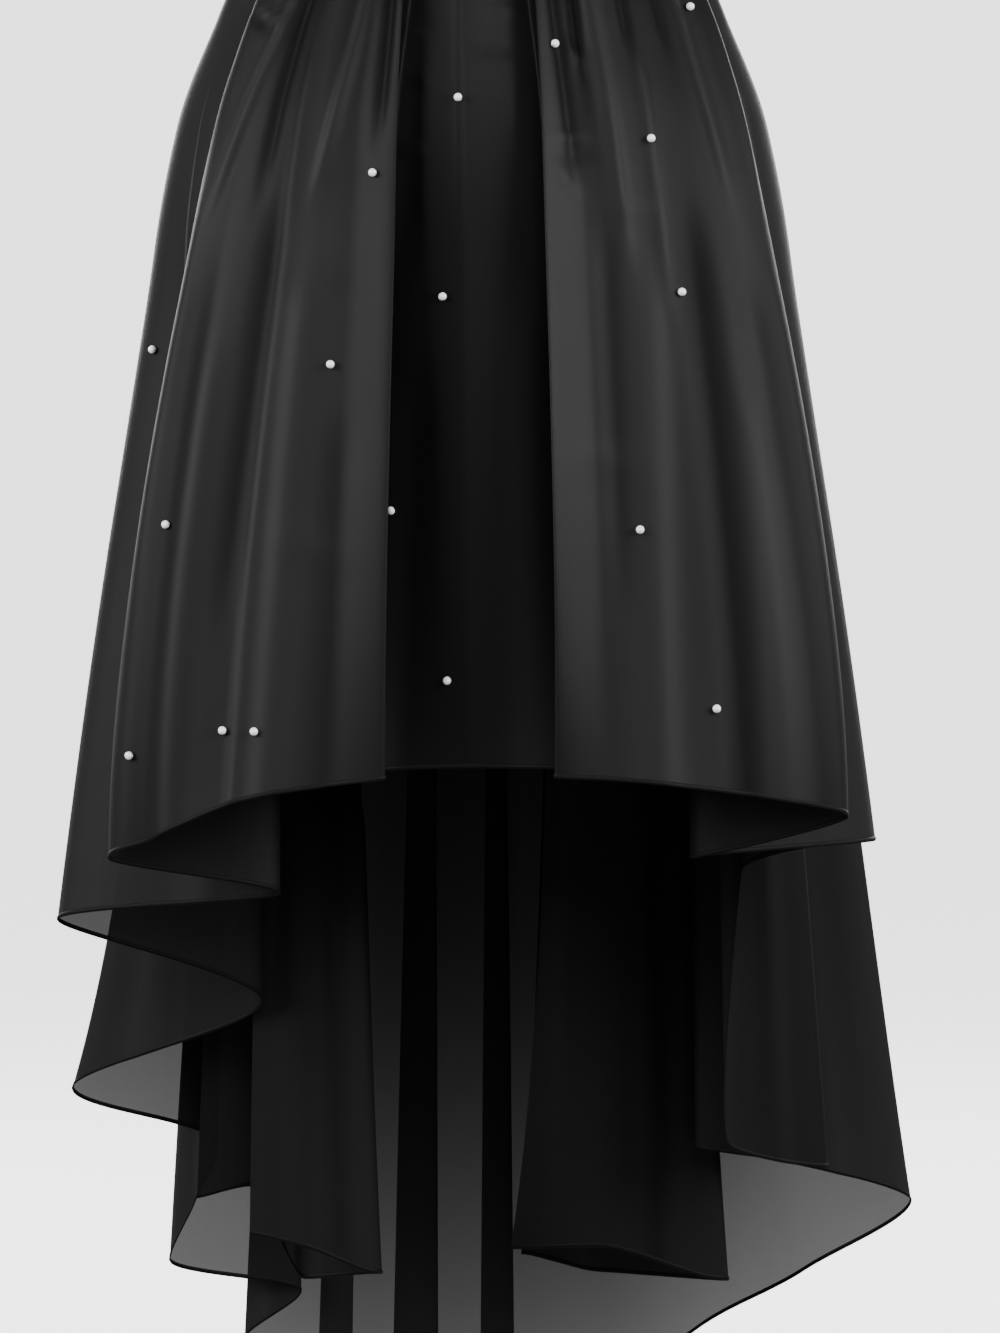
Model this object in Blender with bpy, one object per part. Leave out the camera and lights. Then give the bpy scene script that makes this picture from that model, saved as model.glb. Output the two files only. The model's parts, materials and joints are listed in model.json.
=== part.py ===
# High-low skirt: a short opaque lining under an organza overlay that falls to the back
# in deep flutes, with two inner flutes behind, all hung from a plain waistband.
# Metres, +Z up. The origin is the centre of the waist seam, -Y is the front of the skirt.
import math

import bpy
from mathutils import Vector

MM = 0.001

# Driving dimensions
WAIST_HALF_WIDTH = 127 * MM
WAIST_HALF_DEPTH = 92 * MM
HIP_HALF_WIDTH = 155 * MM
HIP_HALF_DEPTH = 108 * MM
HIP_DROP = 200 * MM
BAND_HEIGHT = 35 * MM
BAND_WALL = 3 * MM
ORGANZA_WALL = 1.0 * MM
LINING_WALL = 1.2 * MM
LINING_DROP = 480 * MM
SEAM_GAP = 0.3 * MM
OVERLAY_LAYER = 4.6 * MM
FAR_WALL_LAYER = 2.6 * MM
LINING_LAYER = -1.6 * MM
LINING_EASE = 1.0 * MM
PLEAT_HEIGHT = 5 * MM
PLEAT_RISE = 30 * MM
PLEAT_RUN = 210 * MM
REST_MARGIN = 0.45
REST_START = 120 * MM
REST_END = 620 * MM
REST_FADE = 0.45
REST_LEAST = 0.001
FLARE_START = 0.02
TIP_ROUND = 0.6
BEND_ROUND = 0.45

# How finely the cloth is drawn: a table row is a short wall where its hem is under
# SHORT_WALL_MM long, and walls beside a turn take more columns than open cloth
SHORT_WALL_MM = 30
SHORT_COLUMNS = 3
TURN_COLUMNS = 6
OPEN_COLUMNS = 4
LINING_COLUMNS = 25
BAND_COLUMNS = 64
NORMAL_STEP = 0.002
SHARP_DEGREES = 50

# How far down each cloth line its sections lie, as shares of the line
LEVELS = (0.0, 0.03, 0.075, 0.14, 0.23, 0.34, 0.47, 0.6, 0.73, 0.85, 0.94, 1.0)

# Fold lines of the organza overlay, in order from the front centre round by the left
# and the back. Columns: name, turn (the cloth doubles back there), waist angle in degrees
# from the front centre, then the hem point in mm (across, back, down from the waist seam),
# pleat (0 valley to 1 ridge, at the waist), late (how much of the flare comes at the hem).
OVERLAY_FOLDS = (
    ("front_centre", False, 3, 0, -150, 521, 0.2, 0.0),
    ("box_under_left", True, 13, -72, -163, 523, 0.0, 0.3),
    ("box_edge_left", True, 16.5, -51, -183, 526, 1.0, -0.1),
    ("valley_left", False, 24, -88, -182, 531, 0.0, 0.0),
    ("ridge_left", False, 28, -140, -174, 541, 1.0, 0.0),
    ("side_valley_left", False, 46, -193, -154, 565, 0.0, -0.1),
    ("flute_left_1", True, 52, -221, -128, 579, 1.0, -0.1),
    ("inner_left_1", True, 62, -116, -95, 603, 0.0, 0.0),
    ("flute_left_2", True, 76, -260, -20, 626, 1.0, 0.0),
    ("inner_left_2", True, 90, -132, 50, 685, 0.0, 0.0),
    ("flute_left_3", True, 102, -260, 105, 748, 1.0, 0.2),
    ("inner_left_3", True, 114, -167, 150, 791, 0.0, 0.0),
    ("flute_left_4", True, 124, -202, 200, 875, 1.0, 0.0),
    ("inner_left_4", True, 136, -115, 222, 899, 0.0, 0.0),
    ("back_edge_left", True, 146, -154, 240, 936, 1.0, 0.0),
    ("back_fold_left_1", True, 155, -82, 252, 968, 0.0, 0.0),
    ("back_fold_left_2", True, 159, -106, 272, 974, 1.0, 0.0),
    ("back_fold_mid_1", True, 168, -24, 276, 994, 0.0, 0.0),
    ("back_fold_mid_2", True, 173, -56, 298, 999, 1.0, 0.0),
    ("back_fold_right_1", True, 184, 28, 296, 1006, 0.0, 0.0),
    ("back_fold_right_2", True, 188, 4, 320, 1008, 1.0, 0.0),
    ("back_panel_1", False, 204, 92, 312, 980, 0.0, 0.0),
    ("back_panel_2", False, 219, 156, 278, 930, 1.0, 0.0),
    ("back_panel_3", False, 233, 222, 226, 885, 0.0, 0.0),
    ("flute_right_3", True, 249, 290, 172, 831, 1.0, 0.04),
    ("inner_right_3", True, 259, 144, 131, 790, 0.0, 0.0),
    ("flute_right_dark", True, 266, 230, 98, 799, 1.0, 0.0),
    ("side_slit_low", False, 271, 163, 73, 781, 0.0, 0.0),
    ("side_slit_high", True, 275, 170, 44, 600, 0.0, 0.0),
    ("flute_right_2", True, 283, 254, -4, 576, 1.0, 0.0),
    ("inner_right_1", True, 291, 133, -92, 581, 0.0, 0.0),
    ("flute_right_1", True, 297, 230, -128, 553, 1.0, -0.1),
    ("side_valley_right", False, 303, 182, -160, 540, 0.0, -0.1),
    ("ridge_right", False, 327, 122, -177, 531, 1.0, 0.0),
    ("valley_right", False, 336, 84, -182, 527, 0.0, 0.0),
    ("box_edge_right", True, 345, 50, -183, 525, 1.0, -0.2),
    ("box_under_right", True, 348, 71, -163, 522, 0.0, 0.3),
)

# Fold lines of the two inner back layers. The columns are the same, but for the last but
# one, which says on which side of the fold the row lies: 0 the near wall, 1 the far wall.
INNER_LEFT_FOLDS = (
    ("flute_edge_left", False, 108, -146, 74, 840, 0.0, 0.0),
    ("flute_face", False, 117, -106, 70, 849, 0.0, 0.0),
    ("flute_near", False, 129, -68, 84, 866, 0.0, 0.1),
    ("flute_tip", True, 131, -59, 96, 869, 0.5, 0.1),
    ("flute_far", False, 129, -68, 108, 871, 1.0, 0.1),
    ("flute_back", False, 119, -110, 136, 878, 1.0, 0.0),
    ("side_flute_face", False, 111, -146, 118, 814, 1.0, 0.0),
    ("side_flute_edge", False, 106, -180, 112, 821, 1.0, 0.0),
)
INNER_RIGHT_FOLDS = (
    ("flute_edge_left", False, 212, 25, 174, 863, 0.0, 0.45),
    ("flute_face", False, 222, 84, 154, 859, 0.0, 0.15),
    ("flute_near", False, 234, 160, 174, 883, 0.0, 0.1),
    ("flute_tip", True, 235.5, 171, 187, 886, 0.5, 0.1),
    ("flute_far", False, 234, 160, 201, 888, 1.0, 0.1),
    ("flute_back", False, 223, 88, 226, 886, 1.0, 0.0),
    ("flute_back_edge", False, 213, 32, 212, 872, 1.0, 0.2),
)


def smooth(value):
    """An even ease from 0 to 1."""
    held = min(max(value, 0.0), 1.0)
    return held * held * (3 - 2 * held)


def flare(share):
    """How much of its way out to the hem a line has gone at this share of its drop."""
    early = math.sqrt(FLARE_START)
    return (math.sqrt(share + FLARE_START) - early) / (math.sqrt(1 + FLARE_START) - early)


def eased_slope(before, after):
    """The slope at a table row that never overshoots the rows beside it."""
    if before * after <= 0:
        return 0.0
    return 2 * before * after / (before + after)


def hermite(share, start, end, start_slope, end_slope):
    """A cubic from start to end with the given slopes."""
    square = share * share
    cube = square * share
    return (
        (2 * cube - 3 * square + 1) * start
        + (cube - 2 * square + share) * start_slope
        + (3 * square - 2 * cube) * end
        + (cube - square) * end_slope
    )


class Sheet:
    """A length of cloth hung from the waist, read between the rows of a fold table."""

    def __init__(self, folds, closed, pleats, layers):
        self.folds = folds
        self.closed = closed
        self.turns = [row[1] for row in folds]
        self.pleat = pleats
        self.layer = layers
        self.angles = [row[2] for row in folds]
        self.across = [row[3] * MM for row in folds]
        self.back = [row[4] * MM for row in folds]
        self.drop = [row[5] * MM for row in folds]
        self.late = [row[7] for row in folds]

    def pick(self, values, index, turn=0.0):
        """A table value, with the table repeated all round when the sheet is closed."""
        count = len(values)
        if self.closed:
            return values[index % count] + turn * (index // count)
        return values[min(max(index, 0), count - 1)]

    def eased(self, values, place, turn=0.0):
        """A column read between rows without overshoot."""
        row = math.floor(place)
        points = [self.pick(values, row + step, turn) for step in (-1, 0, 1, 2)]
        steps = [points[1] - points[0], points[2] - points[1], points[3] - points[2]]
        return hermite(
            place - row, points[1], points[2],
            eased_slope(steps[0], steps[1]), eased_slope(steps[1], steps[2]),
        )

    def hem_slope(self, index):
        """The hem's direction at a row: straight back at a turn, along its neighbours elsewhere."""
        run_across = self.pick(self.across, index + 1) - self.pick(self.across, index - 1)
        run_back = self.pick(self.back, index + 1) - self.pick(self.back, index - 1)
        if self.pick(self.turns, index):
            return 0.0, run_back * TIP_ROUND
        return run_across * BEND_ROUND, run_back * BEND_ROUND

    def hem_point(self, place):
        row = math.floor(place)
        share = place - row
        start = self.hem_slope(row)
        end = self.hem_slope(row + 1)
        return (
            hermite(share, self.pick(self.across, row), self.pick(self.across, row + 1), start[0], end[0]),
            hermite(share, self.pick(self.back, row), self.pick(self.back, row + 1), start[1], end[1]),
        )

    def point(self, place, level):
        """The middle of the cloth at a place along the table and a share of the drop."""
        turn = math.radians(self.eased(self.angles, place, 360))
        drop = self.eased(self.drop, place) * level
        late = self.eased(self.late, place)
        gone = (1 - late) * flare(level) + late * level ** 6
        hem = self.hem_point(place)
        waist = (-WAIST_HALF_WIDTH * math.sin(turn), -WAIST_HALF_DEPTH * math.cos(turn))
        across = waist[0] + (hem[0] - waist[0]) * gone
        back = waist[1] + (hem[1] - waist[1]) * gone
        across, back = rest_on_body(across, back, drop)
        ridge = self.eased(self.pleat, place) * PLEAT_HEIGHT
        ridge *= smooth(drop / PLEAT_RISE) * (1 - smooth((drop - PLEAT_RISE) / PLEAT_RUN))
        reach = math.hypot(across, back)
        grow = (reach + ridge + self.eased(self.layer, place)) / reach
        return Vector((across * grow, back * grow, -SEAM_GAP - drop))

    def normal(self, place, level):
        """The way out of the cloth there."""
        along = self.point(place + NORMAL_STEP, level) - self.point(place - NORMAL_STEP, level)
        low = min(level + NORMAL_STEP, 1.0)
        high = max(level - NORMAL_STEP, 0.0)
        down = self.point(place, low) - self.point(place, high)
        out = along.cross(down)
        if level == 0.0:
            out.z = 0.0
        return out.normalized()


def body_size(drop):
    """Half the width and depth of the form inside the skirt at this drop."""
    spread = smooth(drop / HIP_DROP)
    width = WAIST_HALF_WIDTH + (HIP_HALF_WIDTH - WAIST_HALF_WIDTH) * spread
    depth = WAIST_HALF_DEPTH + (HIP_HALF_DEPTH - WAIST_HALF_DEPTH) * spread
    return width, depth


def rest_on_body(across, back, drop):
    """Cloth that would fall inside the form is laid over it, in the same order."""
    width, depth = body_size(drop)
    below = smooth((drop - LINING_DROP) / (REST_END - LINING_DROP))
    kept = 1 - REST_FADE * below
    inside = math.hypot(across / (width * kept), back / (depth * kept))
    margin = REST_MARGIN * smooth(drop / REST_START)
    if margin < REST_LEAST or inside >= 1 + margin:
        return across, back
    laid = 1 + margin * (inside / (1 + margin)) ** ((1 + margin) / margin)
    return across * laid / inside, back * laid / inside


def cloth_material(name, colour, roughness):
    material = bpy.data.materials.new(name)
    material.use_nodes = True
    shader = material.node_tree.nodes["Principled BSDF"]
    shader.inputs["Base Color"].default_value = (*colour, 1)
    shader.inputs["Roughness"].default_value = roughness
    shader.inputs["Metallic"].default_value = 0.0
    return material


def make_object(name, points, faces, material):
    mesh = bpy.data.meshes.new(name)
    mesh.from_pydata(points, [], faces)
    mesh.materials.append(material)
    mesh.shade_smooth()
    mesh.set_sharp_from_angle(angle=math.radians(SHARP_DEGREES))
    piece = bpy.data.objects.new(name, mesh)
    bpy.context.collection.objects.link(piece)
    return piece


def wall_faces(rows, columns, closed):
    """Faces of a wall whose outer points come first, row by row, then its inner points."""
    inner = rows * columns
    spans = columns if closed else columns - 1
    faces = []
    for row in range(rows - 1):
        for column in range(spans):
            here = row * columns + column
            beside = row * columns + (column + 1) % columns
            under = here + columns
            across = beside + columns
            faces.append((here, beside, across, under))
            faces.append((inner + here, inner + under, inner + across, inner + beside))
    last = (rows - 1) * columns
    for column in range(spans):
        following = (column + 1) % columns
        faces.append((column, inner + column, inner + following, following))
        faces.append((last + column, last + following, inner + last + following, inner + last + column))
    if not closed:
        for row in range(rows - 1):
            start = row * columns
            end = start + columns - 1
            faces.append((start, start + columns, inner + start + columns, inner + start))
            faces.append((end, inner + end, inner + end + columns, end + columns))
    return faces


def places_between(sheet, first, last):
    """Where the columns of a panel lie: more of them in the walls beside a turn."""
    places = [first]
    row = math.floor(first)
    while row < last:
        low = max(row, first)
        high = min(row + 1, last)
        here, beside = (sheet.folds[step % len(sheet.folds)] for step in (row, row + 1))
        whole = TURN_COLUMNS if here[1] or beside[1] else OPEN_COLUMNS
        if math.hypot(beside[3] - here[3], beside[4] - here[4]) < SHORT_WALL_MM:
            whole = SHORT_COLUMNS
        share = high - low
        count = max(2, round(whole * share))
        places += [low + share * step / count for step in range(1, count + 1)]
        row += 1
    return places


def cloth_panel(name, sheet, first, last, material):
    """A panel of the sheet with its wall, drawn in by half a seam gap at both side edges."""
    places = places_between(sheet, first, last)
    outer = []
    inner = []
    for level in LEVELS:
        middle = [sheet.point(place, level) for place in places]
        normals = [sheet.normal(place, level) for place in places]
        middle[0] += (middle[1] - middle[0]).normalized() * SEAM_GAP / 2
        middle[-1] += (middle[-2] - middle[-1]).normalized() * SEAM_GAP / 2
        outer += [point + way * ORGANZA_WALL / 2 for point, way in zip(middle, normals)]
        inner += [point - way * ORGANZA_WALL / 2 for point, way in zip(middle, normals)]
    faces = wall_faces(len(LEVELS), len(places), False)
    return make_object(name, outer + inner, faces, material)


def row_named(folds, name):
    return [row[0] for row in folds].index(name)


def lining_half(name, start_degrees, material):
    """Half of the short lining, which follows the form with a little ease."""
    drops = [LINING_DROP * share for share in (0.0, 0.06, 0.14, 0.24, 0.36, 0.5, 0.75, 1.0)]
    outer = []
    inner = []
    for drop in drops:
        width, depth = body_size(drop)
        back_off = LINING_EASE * smooth(drop / PLEAT_RISE) - LINING_LAYER
        for skin, points in ((LINING_WALL / 2, outer), (-LINING_WALL / 2, inner)):
            half_width = width - back_off + skin
            half_depth = depth - back_off + skin
            edge = SEAM_GAP / 2 / (width * math.pi / 180)
            for column in range(LINING_COLUMNS):
                share = column / (LINING_COLUMNS - 1)
                degrees = start_degrees + edge + (180 - 2 * edge) * share
                turn = math.radians(degrees)
                points.append(Vector((
                    -half_width * math.sin(turn), -half_depth * math.cos(turn), -SEAM_GAP - drop)))
    return make_object(name, outer + inner, wall_faces(len(drops), LINING_COLUMNS, False), material)


def waistband(material):
    """A plain band, an even ring that stands on the waist seam."""
    heights = (BAND_HEIGHT, 0.0)
    outer = []
    inner = []
    for height in heights:
        for skin, points in ((BAND_WALL / 2, outer), (-BAND_WALL / 2, inner)):
            for column in range(BAND_COLUMNS):
                turn = 2 * math.pi * column / BAND_COLUMNS
                points.append(Vector((
                    -(WAIST_HALF_WIDTH + OVERLAY_LAYER + skin) * math.sin(turn),
                    -(WAIST_HALF_DEPTH + OVERLAY_LAYER + skin) * math.cos(turn),
                    height)))
    return make_object("waistband", outer + inner, wall_faces(len(heights), BAND_COLUMNS, True), material)


for old in list(bpy.data.objects):
    bpy.data.objects.remove(old)

organza = cloth_material("black_organza", (0.012, 0.012, 0.013), 0.45)
satin = cloth_material("black_lining", (0.008, 0.008, 0.009), 0.55)
band_cloth = cloth_material("black_waistband", (0.01, 0.01, 0.011), 0.5)

around = len(OVERLAY_FOLDS)
overlay = Sheet(OVERLAY_FOLDS, True, [row[6] for row in OVERLAY_FOLDS], [OVERLAY_LAYER] * around)
inner_left, inner_right = (
    Sheet(folds, False, [0.0] * len(folds), [row[6] * FAR_WALL_LAYER for row in folds])
    for folds in (INNER_LEFT_FOLDS, INNER_RIGHT_FOLDS)
)

left_seam = row_named(OVERLAY_FOLDS, "flute_left_2") + 0.5
right_seam = row_named(OVERLAY_FOLDS, "side_slit_high") + 0.5

waistband(band_cloth)
cloth_panel("overlay_front", overlay, right_seam - around, left_seam, organza)
cloth_panel("overlay_back", overlay, left_seam, right_seam, organza)
cloth_panel("inner_layer_left", inner_left, 0, len(INNER_LEFT_FOLDS) - 1, organza)
cloth_panel("inner_layer_right", inner_right, 0, len(INNER_RIGHT_FOLDS) - 1, organza)
lining_half("lining_front", -90, satin)
lining_half("lining_back", 90, satin)
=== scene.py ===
import json
import math

import bpy
import numpy as np
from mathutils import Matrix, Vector
from mathutils.bvhtree import BVHTree

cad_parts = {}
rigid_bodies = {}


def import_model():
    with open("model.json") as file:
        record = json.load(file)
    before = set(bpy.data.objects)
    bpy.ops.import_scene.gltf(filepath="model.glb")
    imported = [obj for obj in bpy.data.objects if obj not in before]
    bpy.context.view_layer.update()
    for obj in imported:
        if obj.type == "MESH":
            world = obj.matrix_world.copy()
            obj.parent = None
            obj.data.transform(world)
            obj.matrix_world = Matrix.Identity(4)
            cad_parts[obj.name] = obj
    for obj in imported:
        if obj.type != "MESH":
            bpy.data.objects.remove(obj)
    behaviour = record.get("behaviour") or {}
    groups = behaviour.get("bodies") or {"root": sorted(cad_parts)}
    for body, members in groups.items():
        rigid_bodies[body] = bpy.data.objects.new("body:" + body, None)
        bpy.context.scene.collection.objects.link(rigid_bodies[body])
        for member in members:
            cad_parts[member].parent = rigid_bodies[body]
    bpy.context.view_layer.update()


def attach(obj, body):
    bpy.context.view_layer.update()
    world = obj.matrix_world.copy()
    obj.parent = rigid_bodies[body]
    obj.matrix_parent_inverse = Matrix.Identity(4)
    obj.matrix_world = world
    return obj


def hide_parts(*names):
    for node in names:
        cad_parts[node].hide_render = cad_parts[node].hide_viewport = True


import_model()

MM = 0.001

# The photographer's corner: a camera at hip height a few steps in front of the skirt,
# turned a little down, so that the waist seam lies just above the picture and the long
# back hem just below it.
CAMERA_DISTANCE = 4.0
CAMERA_ACROSS = 18 * MM
CAMERA_HEIGHT = -300 * MM
PICTURE_MIDDLE = -465 * MM
PICTURE_WIDTH = 640 * MM
SENSOR_WIDTH = 36.0

lens = bpy.data.cameras.new("camera")
lens.sensor_fit = "HORIZONTAL"
lens.sensor_width = SENSOR_WIDTH
lens.lens = SENSOR_WIDTH * CAMERA_DISTANCE / PICTURE_WIDTH
lens.clip_end = 100
camera = bpy.data.objects.new("camera", lens)
eye = Vector((CAMERA_ACROSS, -CAMERA_DISTANCE, CAMERA_HEIGHT))
aim = Vector((CAMERA_ACROSS, 0, PICTURE_MIDDLE))
camera.location = eye
camera.rotation_euler = (aim - eye).to_track_quat("-Z", "Y").to_euler()
bpy.context.scene.collection.objects.link(camera)
bpy.context.scene.camera = camera


# The studio: a wide pale floor that curves up into a wall all round, and soft lamps. The
# wall stands far out, so that a camera that goes round the skirt stays inside it.
# The lamps stand well to the sides, so that the middle of the front stays dark and the
# panels beside it catch a silky light; the organza's painted sheen and shade, set below,
# darkens that middle further and brightens those panels.
class Socket:
    """One socket of a shader tree, so that its maths reads as plain sums."""

    def __init__(self, tree, output):
        self.tree = tree
        self.output = output

    def node(self, kind, settings=None, output=0, **inputs):
        """A node of that kind: its settings first, then the values or links of its sockets."""
        made = self.tree.nodes.new(kind)
        for name, value in (settings or {}).items():
            if name == "stops":
                ramp = made.color_ramp.elements
                while len(ramp) < len(value):
                    ramp.new(1.0)
                for stop, (place, colour) in zip(ramp, value):
                    stop.position = place
                    stop.color = colour
            else:
                setattr(made, name, value)
        for name, value in inputs.items():
            key = name.replace("_", " ") if not name[1:].isdigit() else int(name[1:])
            if isinstance(value, Socket):
                self.tree.links.new(value.output, made.inputs[key])
            else:
                made.inputs[key].default_value = value
        return Socket(self.tree, made.outputs[output])

    def maths(self, operation, other, clamp=False):
        return self.node("ShaderNodeMath", {"operation": operation, "use_clamp": clamp}, i0=self, i1=other)

    def __add__(self, other):
        return self.maths("ADD", other)

    def __radd__(self, other):
        return self.maths("ADD", other)

    def __sub__(self, other):
        return self.maths("SUBTRACT", other)

    def __rsub__(self, other):
        return self.node("ShaderNodeMath", {"operation": "SUBTRACT"}, i0=other, i1=self)

    def __mul__(self, other):
        return self.maths("MULTIPLY", other)

    def __rmul__(self, other):
        return self.maths("MULTIPLY", other)

    def __pow__(self, other):
        return self.maths("POWER", other)

    def held(self):
        """The value kept between 0 and 1."""
        return self.maths("ADD", 0.0, clamp=True)


def new_material(name, **constants):
    """A material with one Principled shader, given back with that shader and a start socket."""
    material = bpy.data.materials.new(name)
    material.use_nodes = True
    tree = material.node_tree
    shader = tree.nodes["Principled BSDF"]
    for key, value in constants.items():
        shader.inputs[key.replace("_", " ")].default_value = value
    return material, shader, Socket(tree, None)


def feed(shader, name, socket):
    socket.tree.links.new(socket.output, shader.inputs[name])


STAGE_GLOW = 2.3
STAGE_RADIUS = 18.0
STAGE_COVE = 1.6
STAGE_WALL = 16.0
FLOOR_DROP = 1.06
STAGE_SIDES = 96
PAPER = (0.6, 0.6, 0.605, 1)

rings = [(0.0, 0.0), (STAGE_RADIUS * 0.5, 0.0), (STAGE_RADIUS, 0.0)]
for step in range(1, 13):
    turn = math.pi / 2 * step / 12
    rings.append((STAGE_RADIUS + STAGE_COVE * math.sin(turn), STAGE_COVE * (1 - math.cos(turn))))
rings.append((STAGE_RADIUS + STAGE_COVE, STAGE_WALL))
stage_points = [(0, 0, -FLOOR_DROP)]
for radius, height in rings[1:]:
    for side in range(STAGE_SIDES):
        turn = 2 * math.pi * side / STAGE_SIDES
        stage_points.append((radius * math.cos(turn), radius * math.sin(turn), height - FLOOR_DROP))
stage_faces = [(0, 1 + side, 1 + (side + 1) % STAGE_SIDES) for side in range(STAGE_SIDES)]
for ring in range(len(rings) - 2):
    low = 1 + ring * STAGE_SIDES
    for side in range(STAGE_SIDES):
        beside = (side + 1) % STAGE_SIDES
        stage_faces.append((low + side, low + STAGE_SIDES + side, low + STAGE_SIDES + beside, low + beside))
stage_mesh = bpy.data.meshes.new("floor")
stage_mesh.from_pydata(stage_points, [], stage_faces)
stage_mesh.shade_smooth()
floor = bpy.data.objects.new("floor", stage_mesh)
bpy.context.scene.collection.objects.link(floor)
paper, paper_shader, start = new_material(
    "pale_paper", Roughness=0.9, Emission_Color=(1, 1, 1, 1), Emission_Strength=STAGE_GLOW)
grain = start.node("ShaderNodeTexNoise", {}, Scale=3.0, Detail=2.0)
feed(paper_shader, "Base Color", start.node(
    "ShaderNodeMix", {"data_type": "RGBA"}, output=2, i0=grain,
    i6=PAPER, i7=tuple(channel * 0.985 for channel in PAPER[:3]) + (1,)))
stage_mesh.materials.append(paper)
floor.visible_diffuse = False
floor.visible_glossy = False
floor.visible_shadow = False

# Columns: name, azimuth in degrees from the front towards the viewer's right, distance,
# height and size in metres, watts.
LAMPS = (
    ("lamp_right", 58, 2.6, 0.5, 1.4, 150),
    ("lamp_left", -58, 2.6, 0.5, 1.4, 150),
    ("lamp_front", 8, 4.6, 1.6, 1.6, 60),
    ("lamp_back_right", 140, 3.0, 0.7, 1.6, 110),
    ("lamp_back_left", -140, 3.0, 0.7, 1.6, 110),
)
for name, azimuth, distance, height, size, watts in LAMPS:
    light = bpy.data.lights.new(name, "AREA")
    light.shape = "SQUARE"
    light.size = size
    light.energy = watts
    lamp = bpy.data.objects.new(name, light)
    turn = math.radians(azimuth)
    lamp.location = (distance * math.sin(turn), -distance * math.cos(turn), height)
    lamp.rotation_euler = (Vector((0, 0, PICTURE_MIDDLE)) - lamp.location).to_track_quat("-Z", "Y").to_euler()
    lamp.visible_camera = False
    bpy.context.scene.collection.objects.link(lamp)
world = bpy.data.worlds.new("room")
world.use_nodes = True
world.node_tree.nodes["Background"].inputs["Color"].default_value = (1, 1, 1, 1)
world.node_tree.nodes["Background"].inputs["Strength"].default_value = 0.45
bpy.context.scene.world = world


# The form that the skirt is cut for: a plain oval waist that widens to the hips. It isn't
# built, but the lining and the organza both rest on it.
WAIST_HALF_WIDTH = 127 * MM
WAIST_HALF_DEPTH = 92 * MM
HIP_HALF_WIDTH = 155 * MM
HIP_HALF_DEPTH = 108 * MM
HIP_DROP = 200 * MM
SEAM_GAP = 0.3 * MM
LINING_DROP = 480 * MM


def smooth(value):
    """An even ease from 0 to 1."""
    held = min(max(value, 0.0), 1.0)
    return held * held * (3 - 2 * held)


def body_size(drop):
    """Half the width and depth of the form inside the skirt at this drop."""
    spread = smooth(drop / HIP_DROP)
    return (
        WAIST_HALF_WIDTH + (HIP_HALF_WIDTH - WAIST_HALF_WIDTH) * spread,
        WAIST_HALF_DEPTH + (HIP_HALF_DEPTH - WAIST_HALF_DEPTH) * spread,
    )


def cloth_object(name, rows, material, closed=False, tones=None):
    """A cloth mesh from rows of points, with a map in metres along and down the cloth.

    tones are named values, one for each point, that the material reads."""
    grid = np.array([[tuple(point) for point in row] for row in rows])
    count, columns = grid.shape[:2]
    spans = columns if closed else columns - 1
    faces = [
        (row * columns + column, row * columns + (column + 1) % columns,
         (row + 1) * columns + (column + 1) % columns, (row + 1) * columns + column)
        for row in range(count - 1) for column in range(spans)
    ]
    mesh = bpy.data.meshes.new(name)
    mesh.from_pydata(grid.reshape(-1, 3).tolist(), [], faces)
    last = grid[-1]
    along = np.concatenate([[0], np.cumsum(np.linalg.norm(np.diff(last, axis=0), axis=1))])
    if closed:
        along = np.append(along, along[-1] + np.linalg.norm(last[0] - last[-1]))
    down = np.zeros((count, columns))
    down[1:] = np.cumsum(np.linalg.norm(np.diff(grid, axis=0), axis=2), axis=0)
    layer = mesh.uv_layers.new(name="thread")
    places = []
    for row in range(count - 1):
        for column in range(spans):
            beside = (column + 1) % columns
            places += [
                (along[column], down[row][column]), (along[column + 1], down[row][beside]),
                (along[column + 1], down[row + 1][beside]), (along[column], down[row + 1][column]),
            ]
    layer.data.foreach_set("uv", np.array(places).ravel())
    for tone, values in (tones or {}).items():
        kept = mesh.attributes.new(tone, "FLOAT", "POINT")
        kept.data.foreach_set("value", np.asarray(values, np.float32).ravel())
    mesh.materials.append(material)
    mesh.shade_smooth()
    piece = bpy.data.objects.new(name, mesh)
    bpy.context.scene.collection.objects.link(piece)
    return piece


def weave(start, pitch):
    """Threads that cross at right angles, from 0 between them to 1 on them."""
    place = start.node("ShaderNodeUVMap", {"uv_map": "thread"})
    fine = place.node("ShaderNodeVectorMath", {"operation": "SCALE"}, Vector=place, Scale=1 / pitch)
    warp, weft = (
        fine.node("ShaderNodeTexWave", {"bands_direction": way, "wave_profile": "SIN"},
                  Vector=fine, Scale=1.0, Distortion=0.0)
        for way in ("X", "Y")
    )
    return place, warp, weft


# The waistband: the solid keeps its plain shape and gets the black of firm woven cloth,
# with a faint crosswise grain.
band_black, shader, start = new_material("waistband_black", Roughness=0.55, Specular_IOR_Level=0.08)
place = start.node("ShaderNodeTexCoord", {}, output=3)
stretched = start.node("ShaderNodeMapping", {}, Vector=place, Scale=(60.0, 60.0, 1400.0))
grain = start.node("ShaderNodeTexNoise", {}, Vector=stretched, Scale=1.0, Detail=2.0)
feed(shader, "Base Color", start.node(
    "ShaderNodeMix", {"data_type": "RGBA"}, output=2, i0=grain,
    i6=(0.003, 0.003, 0.0031, 1), i7=(0.0085, 0.0085, 0.0087, 1)))
for piece in bpy.data.objects:
    if piece.name.startswith("waistband") and piece.type == "MESH":
        for band_slot in piece.material_slots:
            band_slot.material = band_black


# The lining: a short A-line underskirt in two halves, of opaque dull black cloth, seamed
# at the sides and hung from the same waist seam. Its lower edge is left plain.
LINING_LAYER = -1.6 * MM
LINING_EASE = 1.0 * MM
PLEAT_RISE = 30 * MM
LINING_COLUMNS = 97
LINING_ROWS = 61

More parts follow.
